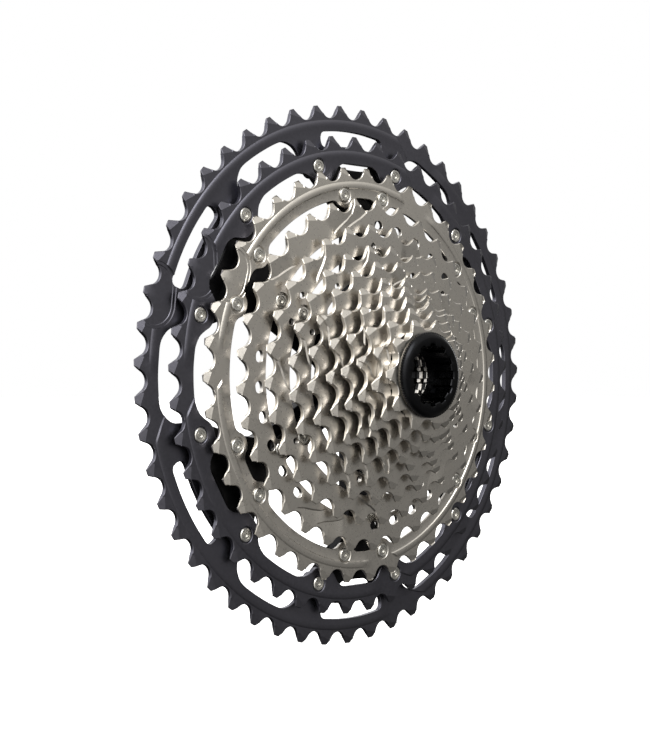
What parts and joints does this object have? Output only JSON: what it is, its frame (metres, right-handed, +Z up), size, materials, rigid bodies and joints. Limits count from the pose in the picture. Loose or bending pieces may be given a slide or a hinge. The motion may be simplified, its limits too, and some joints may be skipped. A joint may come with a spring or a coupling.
{
  "type": "bicycle cassette sprocket",
  "caption": "Stack of toothed bicycle sprockets, from a wide dark ring down to a small steel one, riveted to splined carriers and clamped by a black lockring.",
  "frame": {"origin": "on the axle line, in the middle plane of the largest sprocket, level with the back face of the large carrier", "axes": "+Y along the axle towards the spokes, so the smallest sprocket and the lockring face -Y; +Z up; +X to the right as seen from the lockring side"},
  "size_m": [0.2084, 0.0452, 0.2084],
  "materials": {
    "dark_alloy": "satin dark grey anodised, lighter along the machined edges",
    "black_alloy": "satin black anodised",
    "plated_steel": "satin nickel plate, warm grey, with bright tooth edges",
    "rivet_steel": "satin plated, with turned rings and a centre dimple",
    "spacer_alloy": "satin black anodised",
    "washer_steel": "satin plated",
    "lockring_black": "satin black anodised, knurled rim"
  },
  "bodies": {
    "large_unit": {"large_carrier": "black_alloy", "sprocket_51t": "dark_alloy", "sprocket_45t": "dark_alloy", "sprocket_39t": "plated_steel", "outer_rivet_01": "rivet_steel", "outer_rivet_02": "rivet_steel", "outer_rivet_03": "rivet_steel", "outer_rivet_04": "rivet_steel", "outer_rivet_05": "rivet_steel", "outer_rivet_06": "rivet_steel", "outer_rivet_07": "rivet_steel", "outer_rivet_08": "rivet_steel", "outer_rivet_09": "rivet_steel", "outer_rivet_10": "rivet_steel", "outer_rivet_11": "rivet_steel", "outer_rivet_12": "rivet_steel", "inner_rivet_01": "rivet_steel", "inner_rivet_02": "rivet_steel", "inner_rivet_03": "rivet_steel", "inner_rivet_04": "rivet_steel", "inner_rivet_05": "rivet_steel", "inner_rivet_06": "rivet_steel", "inner_rivet_07": "rivet_steel", "inner_rivet_08": "rivet_steel", "inner_rivet_09": "rivet_steel", "inner_rivet_10": "rivet_steel", "inner_rivet_11": "rivet_steel", "inner_rivet_12": "rivet_steel"},
    "small_unit": {"small_carrier": "black_alloy", "sprocket_33t": "plated_steel", "sprocket_28t": "plated_steel", "sprocket_24t": "plated_steel", "cluster_rivet_33t_01": "rivet_steel", "cluster_rivet_33t_02": "rivet_steel", "cluster_rivet_33t_03": "rivet_steel", "cluster_rivet_33t_04": "rivet_steel", "cluster_rivet_33t_05": "rivet_steel", "cluster_rivet_33t_06": "rivet_steel", "cluster_rivet_28t_01": "rivet_steel", "cluster_rivet_28t_02": "rivet_steel", "cluster_rivet_28t_03": "rivet_steel", "cluster_rivet_28t_04": "rivet_steel", "cluster_rivet_28t_05": "rivet_steel", "cluster_rivet_28t_06": "rivet_steel", "cluster_rivet_24t_01": "rivet_steel", "cluster_rivet_24t_02": "rivet_steel", "cluster_rivet_24t_03": "rivet_steel"},
    "spacer_24_21": {"spacer_24_21": "spacer_alloy"},
    "sprocket_21t": {"sprocket_21t": "plated_steel"},
    "spacer_21_18": {"spacer_21_18": "spacer_alloy"},
    "sprocket_18t": {"sprocket_18t": "plated_steel"},
    "spacer_18_16": {"spacer_18_16": "spacer_alloy"},
    "sprocket_16t": {"sprocket_16t": "plated_steel"},
    "spacer_16_14": {"spacer_16_14": "spacer_alloy"},
    "sprocket_14t": {"sprocket_14t": "plated_steel"},
    "sprocket_12t": {"sprocket_12t": "plated_steel"},
    "sprocket_10t": {"sprocket_10t": "plated_steel"},
    "lockring_washer": {"lockring_washer": "washer_steel"},
    "lockring": {"lockring": "lockring_black"}
  },
  "joints": [
    {"name": "small_unit_slide", "type": "slide", "parent": "large_unit", "child": "small_unit", "axis": [0, -1, 0], "range_m": [0, 0.02855]},
    {"name": "spacer_24_21_slide", "type": "slide", "parent": "small_unit", "child": "spacer_24_21", "axis": [0, -1, 0], "range_m": [0, 0.0179]},
    {"name": "sprocket_21t_slide", "type": "slide", "parent": "spacer_24_21", "child": "sprocket_21t", "axis": [0, -1, 0], "range_m": [0, 0.0162]},
    {"name": "spacer_21_18_slide", "type": "slide", "parent": "sprocket_21t", "child": "spacer_21_18", "axis": [0, -1, 0], "range_m": [0, 0.0143]},
    {"name": "sprocket_18t_slide", "type": "slide", "parent": "spacer_21_18", "child": "sprocket_18t", "axis": [0, -1, 0], "range_m": [0, 0.0126]},
    {"name": "spacer_18_16_slide", "type": "slide", "parent": "sprocket_18t", "child": "spacer_18_16", "axis": [0, -1, 0], "range_m": [0, 0.0107]},
    {"name": "sprocket_16t_slide", "type": "slide", "parent": "spacer_18_16", "child": "sprocket_16t", "axis": [0, -1, 0], "range_m": [0, 0.009]},
    {"name": "spacer_16_14_slide", "type": "slide", "parent": "sprocket_16t", "child": "spacer_16_14", "axis": [0, -1, 0], "range_m": [0, 0.0071]},
    {"name": "sprocket_14t_slide", "type": "slide", "parent": "spacer_16_14", "child": "sprocket_14t", "axis": [0, -1, 0], "range_m": [0, 0.0054]},
    {"name": "sprocket_12t_slide", "type": "slide", "parent": "sprocket_14t", "child": "sprocket_12t", "axis": [0, -1, 0], "range_m": [0, 0.0036]},
    {"name": "sprocket_10t_slide", "type": "slide", "parent": "sprocket_12t", "child": "sprocket_10t", "axis": [0, -1, 0], "range_m": [0, 0.0018]},
    {"name": "lockring_advance", "type": "slide", "parent": "sprocket_10t", "child": "lockring_washer", "axis": [0, -1, 0], "range_m": [0, 0.0076]},
    {"name": "lockring_turn", "type": "hinge", "parent": "lockring_washer", "child": "lockring", "pos_m": [0, -0.042, 0], "axis": [0, -1, 0], "range_deg": [0, 2700]}
  ],
  "couplings": [
    {"joint": "lockring_advance", "follows": "lockring_turn", "m_per_rad": 0.00015915}
  ]
}
